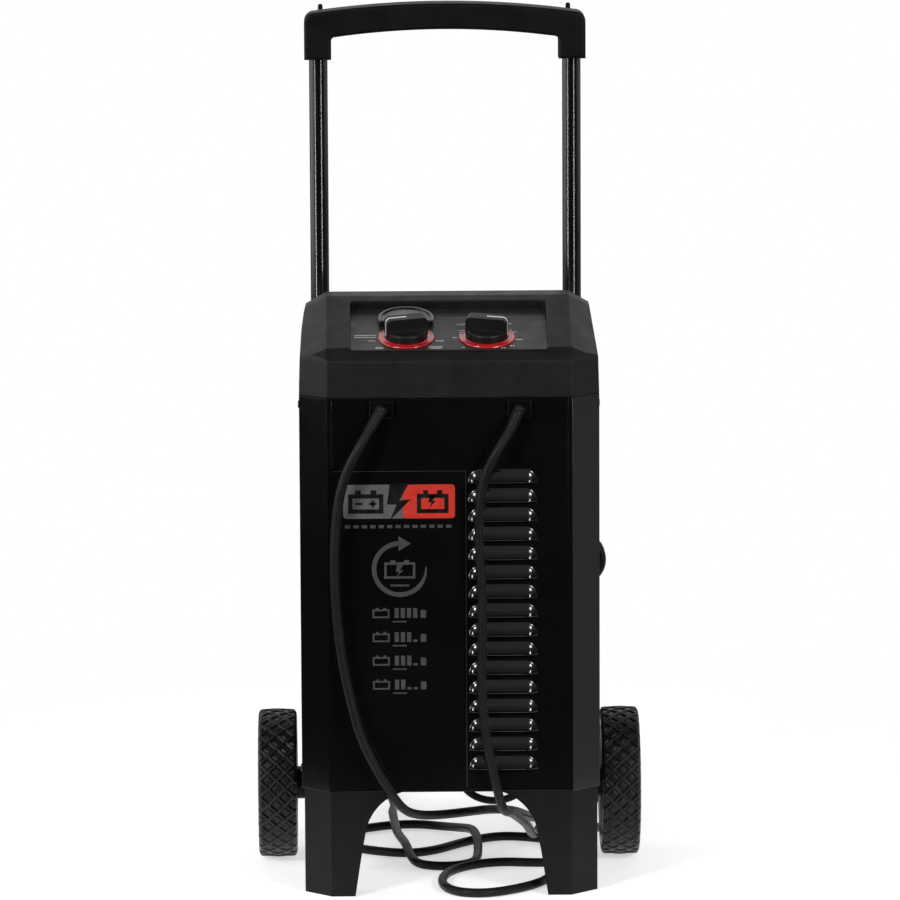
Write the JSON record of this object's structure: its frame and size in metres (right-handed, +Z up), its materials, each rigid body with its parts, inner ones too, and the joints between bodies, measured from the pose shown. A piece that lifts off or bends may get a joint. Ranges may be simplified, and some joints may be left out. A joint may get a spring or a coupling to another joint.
{
  "type": "car battery charger",
  "caption": "Wheeled car battery charger: sheet cabinet on moulded legs and two wheels, sloped knob and meter panel, tall tube handle, two clamp leads.",
  "frame": {"origin": "on the floor, under the middle of the charger's box measured without its leads", "axes": "+X to the charger's right as seen from its front, +Y to the back, +Z up; the front panel faces -Y"},
  "size_m": [0.3927, 0.7222, 0.8815],
  "materials": {
    "cabinet": "gloss black powder coat",
    "head": "dark grey fine-grained moulding",
    "panel": "dark satin plate",
    "base": "black fine-grained moulding",
    "steel": "zinc plated",
    "spacer": "black nylon",
    "cap": "black push-on cap",
    "hub": "black moulding",
    "tyre": "black rubber tread",
    "tube": "gloss black enamel",
    "grip": "black satin moulding",
    "screw": "dark plated",
    "bracket": "black pressed steel",
    "knob": "black satin moulding",
    "scale_ring": "red moulded ring",
    "pointer": "white insert",
    "switch": "moulded switch body",
    "bezel": "black gloss frame",
    "lens": "clear window",
    "dial": "white printed scale without lettering",
    "needle": "thin painted needle",
    "meter_case": "black moulding",
    "grommet": "black rubber",
    "relief": "black rubber sleeve",
    "cable": "black rubber sheath",
    "clamp_red": "red coated steel",
    "clamp_black": "black coated steel",
    "cord": "black rubber sheath",
    "plug": "black moulded plug",
    "core": "laminated iron",
    "winding": "varnished copper wire",
    "rectifier": "finned heat sink"
  },
  "bodies": {
    "body": {"axle": "steel", "axle_caps": "cap", "axle_spacers": "spacer", "base_tray": "base", "cabinet_shell": "cabinet", "cable_grommets": "grommet", "cable_hook_left": "grip", "cable_hook_right": "grip", "casing_screws": "screw", "clamp_left_fixed": "clamp_red", "clamp_left_pin": "steel", "clamp_left_spring": "steel", "clamp_right_fixed": "clamp_black", "clamp_right_pin": "steel", "clamp_right_spring": "steel", "control_panel": "panel", "cord_hooks": "base", "dc_cable_left": "cable", "dc_cable_right": "cable", "dc_coil_right": "cable", "dc_tail_right": "cable", "front_panel": "cabinet", "grip_front": "grip", "grip_rear": "grip", "grip_screws": "screw", "handle_brackets": "bracket", "handle_screws": "screw", "handle_tube_left": "tube", "handle_tube_right": "tube", "head_housing": "head", "knob_ring_left": "scale_ring", "knob_ring_right": "scale_ring", "mains_cord": "cord", "mains_gland": "grommet", "mains_hank": "cord", "mains_plug": "plug", "meter_bezel": "bezel", "meter_case": "meter_case", "meter_dial": "dial", "meter_lens": "lens", "rate_switch": "switch", "rectifier": "rectifier", "strain_relief_left": "relief", "strain_relief_right": "relief", "timer_switch": "switch", "transformer_core": "core", "transformer_windings": "winding"},
    "wheel_left": {"wheel_hub_left": "hub", "tyre_left": "tyre"},
    "wheel_right": {"wheel_hub_right": "hub", "tyre_right": "tyre"},
    "rate_knob": {"knob_left": "knob", "knob_pointer_left": "pointer", "rate_shaft": "steel"},
    "timer_knob": {"knob_right": "knob", "knob_pointer_right": "pointer", "timer_shaft": "steel"},
    "needle": {"meter_needle": "needle"},
    "clamp_left_jaw": {"clamp_left_moving": "clamp_red"},
    "clamp_right_jaw": {"clamp_right_moving": "clamp_black"}
  },
  "joints": [
    {"name": "wheel_left_spin", "type": "hinge", "parent": "body", "child": "wheel_left", "pos_m": [-0.1765, 0.06445, 0.0766], "axis": [1, 0, 0], "continuous": true},
    {"name": "wheel_right_spin", "type": "hinge", "parent": "body", "child": "wheel_right", "pos_m": [0.1765, 0.06445, 0.0766], "axis": [1, 0, 0], "continuous": true},
    {"name": "rate_knob_turn", "type": "hinge", "parent": "body", "child": "rate_knob", "pos_m": [-0.0424, -0.09864, 0.56162], "axis": [0, -0.2672, 0.9636], "range_deg": [-232, 28]},
    {"name": "timer_knob_turn", "type": "hinge", "parent": "body", "child": "timer_knob", "pos_m": [0.0382, -0.09864, 0.56162], "axis": [0, -0.2672, 0.9636], "range_deg": [-28, 232]},
    {"name": "needle_swing", "type": "hinge", "parent": "body", "child": "needle", "pos_m": [-0.0424, -0.06106, 0.57204], "axis": [0, -0.2672, 0.9636], "range_deg": [-93, 0], "stiffness_Nm_per_rad": 0.0001, "springref_deg": 17.19},
    {"name": "clamp_left_open", "type": "hinge", "parent": "body", "child": "clamp_left_jaw", "pos_m": [-0.12131, 0.42585, 0.0156], "axis": [0, 0, 1], "range_deg": [0, 25], "stiffness_Nm_per_rad": 0.5, "springref_deg": -57.3},
    {"name": "clamp_right_open", "type": "hinge", "parent": "body", "child": "clamp_right_jaw", "pos_m": [-0.0903, 0.53515, 0.0156], "axis": [0, 0, 1], "range_deg": [-25, 0], "stiffness_Nm_per_rad": 0.5, "springref_deg": 57.3}
  ]
}
